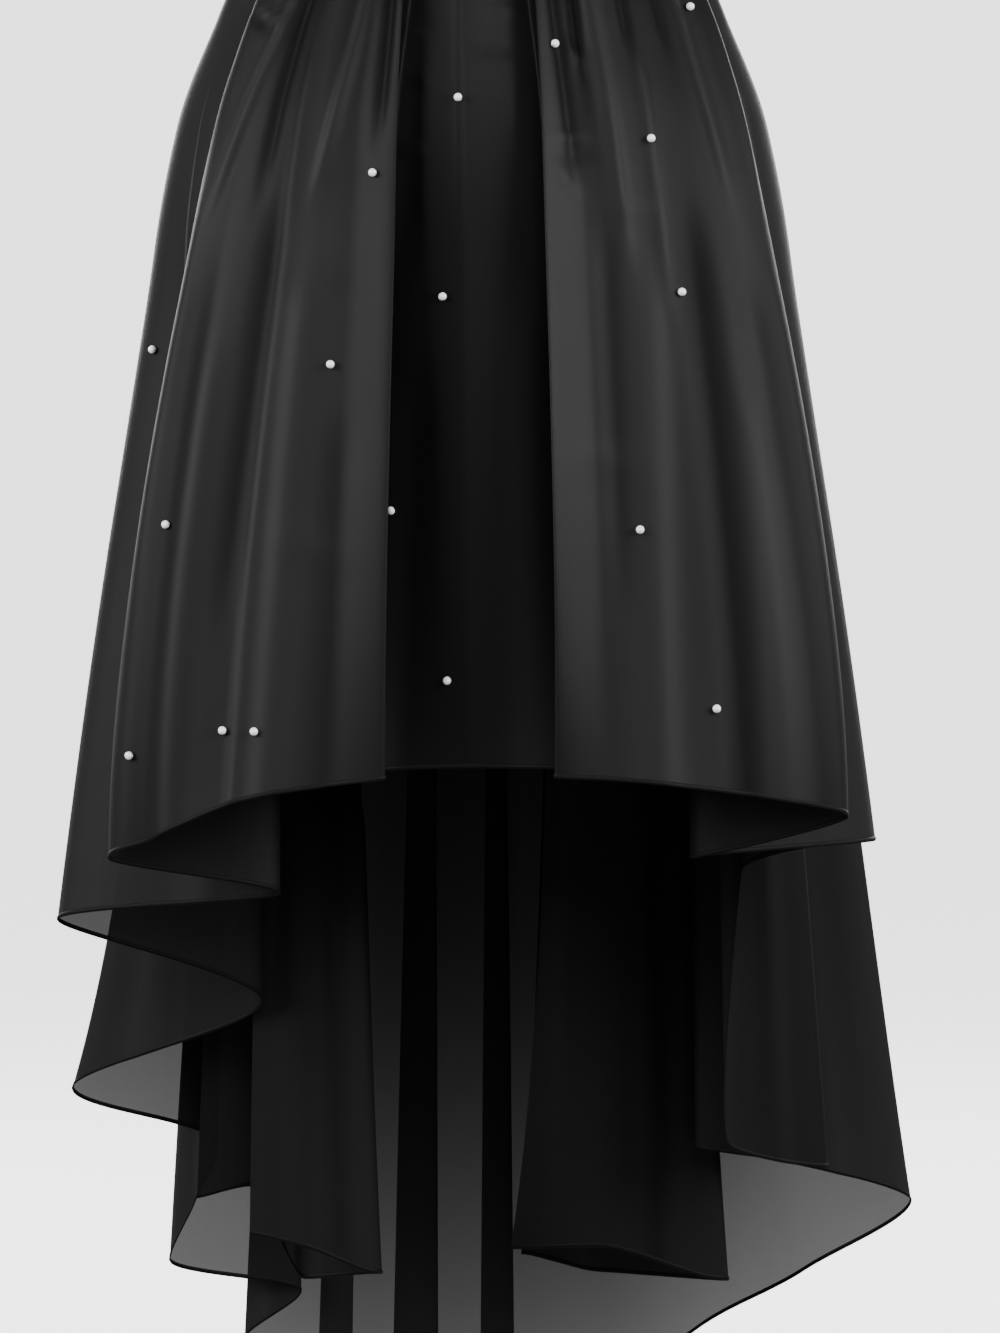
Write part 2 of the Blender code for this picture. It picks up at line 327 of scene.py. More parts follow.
lining_black, shader, start = new_material(
    "lining_black", Roughness=0.62, Specular_IOR_Level=0.3)
place, warp, weft = weave(start, 0.4 * MM)
blotch = start.node("ShaderNodeTexNoise", {}, Vector=place, Scale=18.0, Detail=3.0)
feed(shader, "Base Color", start.node(
    "ShaderNodeMix", {"data_type": "RGBA"}, output=2, i0=blotch,
    i6=(0.0055, 0.0055, 0.006, 1), i7=(0.009, 0.009, 0.0095, 1)))
feed(shader, "Normal", start.node(
    "ShaderNodeBump", {}, Strength=0.25, Distance=0.05 * MM, Height=warp * 0.5 + weft * 0.5))

for half, first_degrees in (("lining_front", -90), ("lining_back", 90)):
    rows = []
    for row in range(LINING_ROWS):
        drop = LINING_DROP * row / (LINING_ROWS - 1)
        width, depth = body_size(drop)
        ease = LINING_EASE * smooth(drop / PLEAT_RISE) - LINING_LAYER
        line = []
        for column in range(LINING_COLUMNS):
            turn = math.radians(first_degrees + 180 * column / (LINING_COLUMNS - 1))
            ripple = 0.0012 * math.sin(turn * 11 + drop * 9) * smooth((drop - 0.2) / 0.25)
            line.append((
                -(width - ease + ripple) * math.sin(turn), -(depth - ease + ripple) * math.cos(turn),
                -SEAM_GAP - drop))
        rows.append(line)
    piece = cloth_object(half + "_cloth", rows, lining_black)
    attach(piece, "root")
    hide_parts(half)


# The organza overlay: one sheer silky length pleated into the waist, with an inverted box
# pleat at the centre front. It falls in deep flutes to a hem that drops to the back.
OVERLAY_LAYER = 4.6 * MM
PLEAT_HEIGHT = 5 * MM
PLEAT_RUN = 210 * MM
REST_MARGIN = 0.45
REST_START = 120 * MM
REST_END = 620 * MM
REST_FADE = 0.45
REST_LEAST = 0.001
FLARE_START = 0.02
TIP_ROUND = 0.6
BEND_ROUND = 0.45

# Fold lines in order from the front centre round by the left and the back. Columns: name,
# turn (the cloth doubles back there), waist angle in degrees from the front centre, the hem
# point in mm (across, back, down from the waist seam), pleat (0 valley to 1 ridge, at the
# waist), late (how much of the flare comes at the hem).
OVERLAY_FOLDS = (
    ("front_centre", False, 3, 0, -150, 521, 0.2, 0.0),
    ("box_under_left", True, 13, -72, -163, 523, 0.0, 0.3),
    ("box_edge_left", True, 16.5, -51, -183, 526, 1.0, -0.1),
    ("valley_left", False, 24, -88, -182, 531, 0.0, 0.0),
    ("ridge_left", False, 28, -140, -174, 541, 1.0, 0.0),
    ("side_valley_left", False, 46, -193, -154, 565, 0.0, -0.1),
    ("flute_left_1", True, 52, -221, -128, 579, 1.0, -0.1),
    ("inner_left_1", True, 62, -116, -95, 603, 0.0, 0.0),
    ("flute_left_2", True, 76, -260, -20, 626, 1.0, 0.0),
    ("inner_left_2", True, 90, -132, 50, 685, 0.0, 0.0),
    ("flute_left_3", True, 102, -260, 105, 748, 1.0, 0.2),
    ("inner_left_3", True, 114, -167, 150, 791, 0.0, 0.0),
    ("flute_left_4", True, 124, -202, 200, 875, 1.0, 0.0),
    ("inner_left_4", True, 136, -115, 222, 899, 0.0, 0.0),
    ("back_edge_left", True, 146, -154, 240, 936, 1.0, 0.0),
    ("back_fold_left_1", True, 155, -82, 252, 968, 0.0, 0.0),
    ("back_fold_left_2", True, 159, -106, 272, 974, 1.0, 0.0),
    ("back_fold_mid_1", True, 168, -24, 276, 994, 0.0, 0.0),
    ("back_fold_mid_2", True, 173, -56, 298, 999, 1.0, 0.0),
    ("back_fold_right_1", True, 184, 28, 296, 1006, 0.0, 0.0),
    ("back_fold_right_2", True, 188, 4, 320, 1008, 1.0, 0.0),
    ("back_panel_1", False, 204, 92, 312, 980, 0.0, 0.0),
    ("back_panel_2", False, 219, 156, 278, 930, 1.0, 0.0),
    ("back_panel_3", False, 233, 222, 226, 885, 0.0, 0.0),
    ("flute_right_3", True, 249, 290, 172, 831, 1.0, 0.04),
    ("inner_right_3", True, 259, 144, 131, 790, 0.0, 0.0),
    ("flute_right_dark", True, 266, 230, 98, 799, 1.0, 0.0),
    ("side_slit_low", False, 271, 163, 73, 781, 0.0, 0.0),
    ("side_slit_high", True, 275, 170, 44, 600, 0.0, 0.0),
    ("flute_right_2", True, 283, 254, -4, 576, 1.0, 0.0),
    ("inner_right_1", True, 291, 133, -92, 581, 0.0, 0.0),
    ("flute_right_1", True, 297, 230, -128, 553, 1.0, -0.1),
    ("side_valley_right", False, 303, 182, -160, 540, 0.0, -0.1),
    ("ridge_right", False, 327, 122, -177, 531, 1.0, 0.0),
    ("valley_right", False, 336, 84, -182, 527, 0.0, 0.0),
    ("box_edge_right", True, 345, 50, -183, 525, 1.0, -0.2),
    ("box_under_right", True, 348, 71, -163, 522, 0.0, 0.3),
)


def flare(share):
    """How much of its way out to the hem a line has gone at this share of its drop."""
    early = math.sqrt(FLARE_START)
    return (math.sqrt(share + FLARE_START) - early) / (math.sqrt(1 + FLARE_START) - early)


def eased_slope(before, after):
    """The slope at a table row that never overshoots the rows beside it."""
    if before * after <= 0:
        return 0.0
    return 2 * before * after / (before + after)


def hermite(share, start, end, start_slope, end_slope):
    """A cubic from start to end with the given slopes."""
    square = share * share
    cube = square * share
    return (
        (2 * cube - 3 * square + 1) * start
        + (cube - 2 * square + share) * start_slope
        + (3 * square - 2 * cube) * end
        + (cube - square) * end_slope
    )


def rest_on_body(across, back, drop):
    """Cloth that would fall inside the form is laid over it, in the same order."""
    width, depth = body_size(drop)
    below = smooth((drop - LINING_DROP) / (REST_END - LINING_DROP))
    kept = 1 - REST_FADE * below
    inside = math.hypot(across / (width * kept), back / (depth * kept))
    margin = REST_MARGIN * smooth(drop / REST_START)
    if margin < REST_LEAST or inside >= 1 + margin:
        return across, back
    laid = 1 + margin * (inside / (1 + margin)) ** ((1 + margin) / margin)
    return across * laid / inside, back * laid / inside


class Sheet:
    """A length of cloth hung from the waist, read between the rows of a fold table."""

    def __init__(self, folds, closed, pleats, layers):
        self.folds = folds
        self.closed = closed
        self.turns = [row[1] for row in folds]
        self.angles = [row[2] for row in folds]
        self.across = [row[3] * MM for row in folds]
        self.back = [row[4] * MM for row in folds]
        self.drop = [row[5] * MM for row in folds]
        self.pleat = pleats
        self.late = [row[7] for row in folds]
        self.layer = layers

    def pick(self, values, index, turn=0.0):
        """A table value, with the table repeated all round when the sheet is closed."""
        count = len(values)
        if self.closed:
            return values[index % count] + turn * (index // count)
        return values[min(max(index, 0), count - 1)]

    def eased(self, values, place, turn=0.0):
        """A column read between rows without overshoot."""
        row = math.floor(place)
        points = [self.pick(values, row + step, turn) for step in (-1, 0, 1, 2)]
        steps = [points[1] - points[0], points[2] - points[1], points[3] - points[2]]
        return hermite(
            place - row, points[1], points[2],
            eased_slope(steps[0], steps[1]), eased_slope(steps[1], steps[2]),
        )

    def hem_slope(self, index):
        """The hem's direction at a row: straight back at a turn, along its neighbours elsewhere."""
        run_across = self.pick(self.across, index + 1) - self.pick(self.across, index - 1)
        run_back = self.pick(self.back, index + 1) - self.pick(self.back, index - 1)
        if self.pick(self.turns, index):
            return 0.0, run_back * TIP_ROUND
        return run_across * BEND_ROUND, run_back * BEND_ROUND

    def hem_point(self, place):
        row = math.floor(place)
        share = place - row
        start = self.hem_slope(row)
        end = self.hem_slope(row + 1)
        return (
            hermite(share, self.pick(self.across, row), self.pick(self.across, row + 1), start[0], end[0]),
            hermite(share, self.pick(self.back, row), self.pick(self.back, row + 1), start[1], end[1]),
        )

    def line(self, place):
        """All that is the same down one line of the cloth."""
        turn = math.radians(self.eased(self.angles, place, 360))
        waist = (-WAIST_HALF_WIDTH * math.sin(turn), -WAIST_HALF_DEPTH * math.cos(turn))
        return (
            waist, self.hem_point(place), self.eased(self.drop, place),
            self.eased(self.late, place), self.eased(self.pleat, place) * PLEAT_HEIGHT,
            self.eased(self.layer, place),
        )

    def point(self, line, level):
        """The middle of the cloth on a line, at a share of its drop."""
        waist, hem, length, late, pleat, layer = line
        drop = length * level
        gone = (1 - late) * flare(level) + late * level ** 6
        across = waist[0] + (hem[0] - waist[0]) * gone
        back = waist[1] + (hem[1] - waist[1]) * gone
        across, back = rest_on_body(across, back, drop)
        ridge = pleat * smooth(drop / PLEAT_RISE) * (1 - smooth((drop - PLEAT_RISE) / PLEAT_RUN))
        reach = math.hypot(across, back)
        grow = (reach + ridge + layer) / reach
        return (across * grow, back * grow, -SEAM_GAP - drop)

    def grid(self, first, last, columns_a_row, levels):
        """Rows of points between two places of the table, and the places."""
        count = max(2, round((last - first) * columns_a_row))
        places = [first + (last - first) * step / count for step in range(count + 1)]
        lines = [self.line(place) for place in places]
        return np.array([[self.point(line, level) for line in lines] for level in levels]), places


def row_named(folds, name):
    return [row[0] for row in folds].index(name)


CLOTH_LEVELS = np.array([(step / 120) ** 1.2 for step in range(121)])
COLUMNS_A_ROW = 20

# Painted sheen and shade, and how sheer the cloth looks, at places along the fold table.
# The painted sheen sets the organza's base colour: painted highlight where the panels should
# catch the lamps, painted shade in the recess of the box pleat and in the deep folds.
# Columns: place, painted sheen near the waist, halfway and at the hem (0 dull to 1.1 bright),
# the share of light let through at the hem, and how fast that falls on the way up, which stands
# partly for the closer gathers and partly for painted shade inside the skirt.
PAINTED_SHEEN = (
    (-8.0, 0.6, 0.8, 0.8, 0.055, 0.6),
    (-7.0, 0.3, 0.4, 0.4, 0.045, 0.6),
    (-6.1, 0.2, 0.25, 0.35, 0.050, 0.6),
    (-5.8, 0.4, 0.6, 0.6, 0.040, 1.0),
    (-5.55, 0.4, 0.65, 0.75, 0.030, 1.5),
    (-5.3, 0.7, 0.8, 0.85, 0.020, 1.5),
    (-5.0, 0.6, 0.62, 0.8, 0.020, 1.5),
    (-4.65, 0.25, 0.45, 0.5, 0.012, 1.5),
    (-4.4, 0.4, 0.7, 0.8, 0.012, 1.5),
    (-4.15, 0.3, 1.0, 0.9, 0.012, 1.5),
    (-3.8, 0.7, 0.95, 1.0, 0.012, 1.5),
    (-3.45, 0.9, 0.8, 0.9, 0.012, 1.5),
    (-3.15, 0.2, 0.95, 0.75, 0.012, 1.5),
    (-2.7, 0.35, 0.95, 0.7, 0.012, 1.5),
    (-2.3, 0.95, 1.05, 0.5, 0.012, 1.5),
    (-2.05, 0.7, 0.9, 0.35, 0.012, 1.5),
    (-1.9, 0.1, 0.1, 0.15, 0.012, 1.5),
    (-1.0, 0.1, 0.12, 0.2, 0.012, 1.5),
    (-0.8, 0.3, 0.2, 0.28, 0.012, 1.5),
    (-0.5, 0.8, 0.28, 0.28, 0.012, 1.5),
    (-0.2, 0.95, 0.34, 0.26, 0.012, 1.5),
    (0.0, 0.7, 0.32, 0.2, 0.012, 1.5),
    (0.06, 0.5, 0.12, 0.12, 0.012, 1.5),
    (0.25, 0.5, 0.05, 0.1, 0.012, 1.5),
    (0.6, 0.25, 0.04, 0.1, 0.012, 1.5),
    (1.0, 0.05, 0.05, 0.12, 0.012, 1.5),
    (1.9, 0.05, 0.05, 0.12, 0.012, 1.5),
    (2.05, 0.9, 0.6, 0.3, 0.012, 1.5),
    (2.25, 0.5, 0.7, 0.5, 0.012, 1.5),
    (2.5, 0.2, 0.9, 0.6, 0.012, 1.5),
    (2.8, 0.6, 0.95, 0.6, 0.012, 1.5),
    (3.1, 0.6, 0.95, 0.65, 0.012, 1.5),
    (3.5, 0.5, 0.98, 0.9, 0.012, 1.5),
    (3.9, 0.8, 1.05, 1.0, 0.012, 1.5),
    (4.08, 0.6, 0.9, 0.9, 0.012, 1.5),
    (4.25, 0.15, 0.5, 0.62, 0.012, 1.5),
    (4.6, 0.3, 0.7, 0.66, 0.015, 1.5),
    (5.1, 0.85, 0.75, 0.68, 0.020, 1.5),
    (5.6, 0.5, 0.72, 0.7, 0.030, 1.2),
    (6.0, 0.2, 0.25, 0.35, 0.045, 0.8),
    (6.4, 0.3, 0.45, 0.45, 0.045, 0.6),
    (7.2, 0.3, 0.5, 0.6, 0.045, 0.5),
    (8.0, 0.6, 0.75, 0.85, 0.055, 0.3),
    (9.0, 0.4, 0.5, 0.6, 0.045, 0.5),
    (10.0, 0.6, 0.7, 0.85, 0.055, 0.4),
    (11.0, 0.4, 0.4, 0.5, 0.045, 0.8),
    (12.0, 0.6, 0.6, 0.8, 0.055, 0.6),
    (13.0, 0.4, 0.4, 0.5, 0.045, 1.0),
    (14.0, 0.6, 0.5, 0.8, 0.050, 2.0),
    (15.0, 0.5, 0.4, 0.7, 0.045, 3.2),
    (18.0, 0.5, 0.4, 0.7, 0.045, 3.4),
    (21.0, 0.5, 0.4, 0.7, 0.045, 3.4),
    (22.0, 0.5, 0.4, 0.8, 0.050, 2.6),
    (23.0, 0.5, 0.5, 0.8, 0.055, 1.2),
    (24.0, 0.6, 0.8, 0.9, 0.055, 0.8),
    (25.0, 0.4, 0.4, 0.5, 0.050, 1.0),
    (26.0, 0.4, 0.3, 0.3, 0.050, 1.0),
    (27.0, 0.4, 0.4, 0.5, 0.050, 0.6),
    (28.0, 0.5, 0.6, 0.7, 0.050, 0.6),
    (29.0, 0.6, 0.8, 0.8, 0.055, 0.6),
)

# Creases pressed and hung into the cloth. Columns: place at the upper end and at the lower
# end, the shares of the drop where it starts and stops, width and height in mm (a trough is
# below 0), lean (which flank is the steeper).
CREASES = (
    (4.4, 5.6, 0.02, 0.36, 6, 2.6, 0.3),
    (4.5, 4.55, 0.01, 0.34, 4, -3.2, 0.0),
    (4.25, 4.1, 0.03, 1.0, 5, 1.8, -0.5),
    (3.0, 3.85, 0.01, 0.34, 5, 2.8, -0.3),
    (2.4, 2.55, 0.01, 0.28, 4, -3.0, 0.0),
    (0.04, 0.03, 0.0, 0.40, 2.5, 1.4, 0.7),
    (0.55, 0.62, 0.05, 0.45, 9, -1.6, 0.0),
    (-0.45, -0.5, 0.05, 0.30, 9, 1.4, 0.0),
    (-2.5, -2.85, 0.02, 0.33, 4, -2.8, 0.0),
    (-3.45, -3.87, 0.01, 0.42, 6, 2.8, 0.2),
    (-3.1, -3.1, 0.01, 0.20, 3.5, -3.4, 0.0),
    (-4.25, -4.4, 0.10, 0.50, 4, 1.6, 0.4),
    (-4.5, -4.7, 0.0, 0.16, 3, -2.6, 0.0),
    (-4.15, -4.2, 0.01, 0.17, 3.5, -2.8, 0.0),
    (-4.8, -5.3, 0.01, 0.35, 5, 2.6, -0.2),
    (-5.9, -5.8, 0.01, 0.35, 3, 1.4, 0.0),
    (-4.6, -4.7, 0.28, 1.0, 10, -3.4, 0.0),
    (-4.15, -3.85, 0.36, 1.0, 12, 2.2, 0.2),
    (-3.45, -3.35, 0.32, 0.85, 8, -1.8, 0.0),
    (-5.5, -5.6, 0.36, 1.0, 9, -2.4, 0.0),
    (-5.1, -5.2, 0.5, 1.0, 9, 1.6, 0.0),
    (4.3, 4.35, 0.28, 0.85, 8, -2.2, 0.0),
    (3.75, 3.7, 0.36, 1.0, 12, 2.2, -0.2),
    (3.0, 2.95, 0.55, 1.0, 11, -1.8, 0.0),
    (5.3, 5.2, 0.32, 1.0, 11, -2.4, 0.0),
    (4.85, 4.8, 0.42, 1.0, 9, 1.6, 0.0),
    (5.7, 5.75, 0.20, 0.8, 6, 1.4, 0.0),
    (-0.5, -0.45, 0.42, 1.0, 14, 1.6, 0.0),
    (0.45, 0.5, 0.5, 1.0, 12, -1.8, 0.0),
    (6.6, 6.5, 0.1, 0.9, 8, -1.8, 0.0),
    (7.5, 7.4, 0.15, 1.0, 9, 2.2, 0.2),
    (8.6, 8.5, 0.12, 0.95, 9, -2.2, 0.0),
    (9.5, 9.6, 0.2, 1.0, 10, 2.6, -0.2),
    (10.6, 10.5, 0.1, 0.9, 9, -2.4, 0.0),
    (11.5, 11.4, 0.3, 1.0, 10, 2.0, 0.0),
    (12.55, 12.4, 0.1, 0.85, 8, -2.4, 0.0),
    (13.5, 13.6, 0.25, 1.0, 9, 2.2, 0.0),
    (14.45, 14.6, 0.05, 0.7, 9, -2.6, 0.0),
    (16.5, 16.4, 0.1, 0.95, 10, 2.6, 0.1),
    (18.5, 18.6, 0.05, 0.8, 10, -2.8, 0.0),
    (18.3, 18.25, 0.4, 1.0, 8, 2.0, 0.0),
    (20.5, 20.4, 0.1, 1.0, 11, 2.8, -0.2),
    (21.5, 21.35, 0.05, 0.85, 10, -3.0, 0.0),
    (21.2, 21.7, 0.75, 1.0, 8, 2.4, 0.0),
    (22.4, 22.55, 0.15, 1.0, 12, 2.8, 0.2),
    (22.7, 22.3, 0.8, 1.0, 7, -2.0, 0.0),
    (23.5, 23.4, 0.1, 0.9, 10, -2.6, 0.0),
    (24.5, 24.4, 0.2, 1.0, 9, 2.2, 0.0),
    (25.5, 25.6, 0.1, 0.95, 8, -2.0, 0.0),
    (26.5, 26.5, 0.3, 1.0, 7, 1.8, 0.0),
    (28.5, 28.4, 0.12, 0.9, 9, -2.0, 0.0),
)

# Small dents and puckers. Columns: place, share of the drop, reach along and down the
# cloth in mm, height in mm.
DENTS = (
    (-2.75, 0.255, 14, 2.2, 1.6),
    (-2.9, 0.275, 12, 2.0, -1.4),
    (-2.6, 0.30, 6, 9, 1.4),
    (0.7, 0.12, 9, 4, 1.5),
    (0.75, 0.19, 10, 5, -1.8),
    (0.55, 0.27, 12, 4, 1.5),
    (-0.5, 0.10, 12, 3, 1.3),
    (-0.4, 0.155, 14, 3.5, -1.5),
    (-3.0, 0.15, 5, 8, 1.6),
    (5.2, 0.065, 5, 9, 2.6),
    (5.35, 0.10, 4, 5, -2.4),
    (5.0, 0.105, 5, 4, 2.2),
    (-4.0, 0.33, 16, 6, 1.0),
    (3.4, 0.42, 20, 8, -0.9),
    (-3.2, 0.62, 22, 10, 0.9),
    (3.3, 0.72, 20, 12, 1.0),
    (18.6, 0.2, 14, 6, 1.4),
    (21.3, 0.3, 18, 8, -1.3),
    (16.3, 0.35, 16, 8, 1.2),
)


def table_at(table, places):
    """A table's columns read at places along the cloth, all round."""
    around = len(OVERLAY_FOLDS)
    held = [(place - around if place > 29 else place) for place in places]
    keys = [row[0] for row in table]
    return [np.interp(held, keys, [row[column] for row in table]) for column in range(1, len(table[0]))]


def lengths(grid):
    """How far each point lies along its row."""
    steps = np.linalg.norm(np.diff(grid, axis=1), axis=2)
    return np.concatenate([np.zeros((len(grid), 1)), np.cumsum(steps, axis=1)], axis=1)


def outward(grid):
    """The way out of the cloth at each point."""
    out = np.cross(np.gradient(grid, axis=1), np.gradient(grid, axis=0))
    out[0, :, 2] = 0
    return out / np.linalg.norm(out, axis=2)[:, :, None]


def ease(values):
    held = np.clip(values, 0, 1)
    return held * held * (3 - 2 * held)


def creased(grid, places, levels, creases, dents):
    """The cloth with its creases and dents, and their height at each point in metres."""
    along = lengths(grid)
    relief = np.zeros(grid.shape[:2])
    drop = (levels[:, None] * np.abs(grid[-1, :, 2])[None, :])
    for top, low, start, stop, width, height, lean in creases:
        if not places[0] <= (top + low) / 2 <= places[-1]:
            continue
        share = (levels - start) / (stop - start)
        middle = top + (low - top) * np.clip(share, 0, 1)
        centre = np.array([np.interp(place, places, row) for place, row in zip(middle, along)])
        off = (along - centre[:, None]) / (width * MM)
        off = np.where(off > 0, off / (1 + lean), off / (1 - lean))
        ends = ease(share / 0.18) if start > 0 else np.ones(len(levels))
        ends = ends * (ease((1 - share) / 0.35) if stop < 1 else ease(share * 2 + 1))
        relief += height * MM * np.exp(-off * off) * ends[:, None]
    for place, level, across, down, height in dents:
        if not places[0] <= place <= places[-1]:
            continue
        row = int(np.argmin(np.abs(levels - level)))
        off = (along - np.interp(place, places, along[row])) / (across * MM)
        fall = (drop - drop[row, int(np.argmin(np.abs(np.array(places) - place)))]) / (down * MM)
        relief += height * MM * np.exp(-off * off - fall * fall)
    relief *= ease(levels / 0.012)[:, None]
    return grid + outward(grid) * relief[:, :, None], relief


def tones_of(places, levels, relief):
    """How brightly each point is painted and how sheer it is: painted highlight on the crests of creases and
    painted shade in their troughs.
    """
    waist, middle, hem, through, fall = table_at(PAINTED_SHEEN, places)
    low = levels[:, None]
    upper = waist + (middle - waist) * ease((low - 0.08) / 0.3)
    silk = upper + (hem - upper) * ease((low - 0.5) / 0.5)
    # Painted highlight on crease crests, painted shade in crease troughs.
    silk = silk * np.clip(1 + relief / (5 * MM), 0.35, 1.5)
    return {"silk": silk, "through": through * 10 ** (-fall * (1 - low))}


def organza_material(name, **constants):
    """Sheer black organza: fine crossed threads, silky streaks down the cloth, and a base colour that carries
    the painted sheen and shade stored on the cloth.
    """
    material, shader, start = new_material(name, **constants)
    place, warp, weft = weave(start, 0.5 * MM)
    stretched = start.node("ShaderNodeMapping", {}, Vector=place, Scale=(70.0, 2.0, 1.0))
    streak = start.node("ShaderNodeTexNoise", {}, Vector=stretched, Scale=1.0, Detail=3.0)
    cloud = start.node("ShaderNodeTexNoise", {}, Vector=place, Scale=14.0, Detail=2.0)
    silk = start.node("ShaderNodeAttribute", {"attribute_name": "silk"}, output=2)
    through = start.node("ShaderNodeAttribute", {"attribute_name": "through"}, output=2)
    # Painted sheen: the stored painted sheen and shade, broken by streaks and clouds, sets the base colour and
    # the roughness.
    painted_gleam = (silk * (0.72 + streak * 0.36 + cloud * 0.2)).held()
    feed(shader, "Base Color", start.node(
        "ShaderNodeMix", {"data_type": "RGBA"}, output=2, i0=painted_gleam,
        i6=(0.0008, 0.0008, 0.0009, 1), i7=(0.0095, 0.0095, 0.0098, 1)))
    feed(shader, "Roughness", 0.56 - painted_gleam * 0.12)
    feed(shader, "Alpha", (1 - through * (0.4 + (warp + weft) * 0.26)).held())
    feed(shader, "Normal", start.node(
        "ShaderNodeBump", {}, Strength=0.3, Distance=0.06 * MM,
        Height=warp * 0.4 + weft * 0.4 + streak * 1.6))
    return material


overlay = Sheet(OVERLAY_FOLDS, True, [row[6] for row in OVERLAY_FOLDS], [OVERLAY_LAYER] * len(OVERLAY_FOLDS))
around = len(OVERLAY_FOLDS)
left_seam = row_named(OVERLAY_FOLDS, "flute_left_2") + 0.5
right_seam = row_named(OVERLAY_FOLDS, "side_slit_high") + 0.5
organza = organza_material("sheer_organza", Specular_IOR_Level=0.055)

panels = []
for name, first, last, columns, flat, area in (
    ("overlay_front", right_seam - around, left_seam, COLUMNS_A_ROW, (1.35, 0.63), 0.50),
    ("overlay_back", left_seam, right_seam, COLUMNS_A_ROW - 2, (1.9, 1.01), 0.88),
):
    grid, places = overlay.grid(first, last, columns, CLOTH_LEVELS)
    grid, relief = creased(grid, places, CLOTH_LEVELS, CREASES, DENTS)
    piece = cloth_object(name + "_cloth", grid, organza, tones=tones_of(places, CLOTH_LEVELS, relief))
    panels.append((piece, grid, places))
    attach(piece, "root")
    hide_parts(name)


# The rolled hem: the edge of the organza is turned twice and stitched into a narrow firm
# band, so it reads as a dark line with a little shine all round the skirt.
HEM_HEIGHT = 3.0 * MM
HEM_THICKNESS = 1.1 * MM
HEM_SIDES = 10

hem_black, shader, start = new_material(
    "rolled_hem_black", Roughness=0.5, Specular_IOR_Level=0.06)
place, warp, weft = weave(start, 0.5 * MM)
stitches = start.node("ShaderNodeTexWave", {"bands_direction": "X"}, Vector=place, Scale=1 / (7 * MM))
feed(shader, "Base Color", start.node(
    "ShaderNodeMix", {"data_type": "RGBA"}, output=2, i0=stitches,
    i6=(0.0015, 0.0015, 0.0016, 1), i7=(0.0045, 0.0045, 0.0046, 1)))
feed(shader, "Normal", start.node(
    "ShaderNodeBump", {}, Strength=0.4, Distance=0.1 * MM, Height=stitches + warp * 0.4))


def hem_roll(name, grid, closed):
    """A flat rounded band along the lowest row of a cloth."""
    edge, above = grid[-1], grid[-2]
    down = edge - above
    down /= np.linalg.norm(down, axis=1)[:, None]
    if closed:
        along = np.roll(edge, -1, axis=0) - np.roll(edge, 1, axis=0)
    else:
        along = np.gradient(edge, axis=0)
    out = np.cross(along, down)
    out /= np.linalg.norm(out, axis=1)[:, None]
    middle = edge - down * HEM_HEIGHT * 0.45
    rows = []
    for side in range(HEM_SIDES + 1):
        turn = 2 * math.pi * side / HEM_SIDES
        rows.append(middle - down * HEM_HEIGHT / 2 * math.cos(turn) + out * HEM_THICKNESS / 2 * math.sin(turn))
    piece = cloth_object(name, rows, hem_black, closed=closed)
    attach(piece, "root")
    return piece


loop = np.concatenate([panels[0][1][:, :-1], panels[1][1][:, :-1]], axis=1)
overlay_hem = hem_roll("overlay_hem", loop, True)


# The two inner flounces: the same organza, gathered into the waist seam under the back.
# Each is rolled into one deep flute that shows below the front hem.
FAR_WALL_LAYER = 2.6 * MM

# The columns are the overlay's, but for the last but one, which says on which side of the
# fold the row lies: 0 the near wall, 1 the far wall.
INNER_LEFT_FOLDS = (
    ("flute_edge_left", False, 108, -146, 74, 840, 0.0, 0.0),
    ("flute_face", False, 117, -106, 70, 849, 0.0, 0.0),
    ("flute_near", False, 129, -68, 84, 866, 0.0, 0.1),
    ("flute_tip", True, 131, -59, 96, 869, 0.5, 0.1),
    ("flute_far", False, 129, -68, 108, 871, 1.0, 0.1),
    ("flute_back", False, 119, -110, 136, 878, 1.0, 0.0),
    ("side_flute_face", False, 111, -146, 118, 814, 1.0, 0.0),
    ("side_flute_edge", False, 106, -180, 112, 821, 1.0, 0.0),
)
INNER_RIGHT_FOLDS = (
    ("flute_edge_left", False, 212, 25, 174, 863, 0.0, 0.45),
    ("flute_face", False, 222, 84, 154, 859, 0.0, 0.15),
    ("flute_near", False, 234, 160, 174, 883, 0.0, 0.1),
    ("flute_tip", True, 235.5, 171, 187, 886, 0.5, 0.1),
    ("flute_far", False, 234, 160, 201, 888, 1.0, 0.1),
    ("flute_back", False, 223, 88, 226, 886, 1.0, 0.0),
    ("flute_back_edge", False, 213, 32, 212, 872, 1.0, 0.2),
)
# Creases, painted sheen and shade, and sheerness as for the overlay, counted along each flounce's own table.
# The painted sheen is darkest near the waist, as painted shade inside the skirt, and the light let through
# falls on the way up, partly as painted shade.
INNER_CREASES = (
    (0.5, 0.45, 0.2, 0.95, 8, 2.0, 0.0),
    (1.4, 1.5, 0.4, 1.0, 9, -2.2, 0.0),
    (5.3, 5.2, 0.3, 1.0, 9, 2.0, 0.0),
)
INNER_PAINTED_SHEEN = (0.25, 0.45, 0.55)
INNER_THROUGH = 0.035
INNER_FALL = 1.6

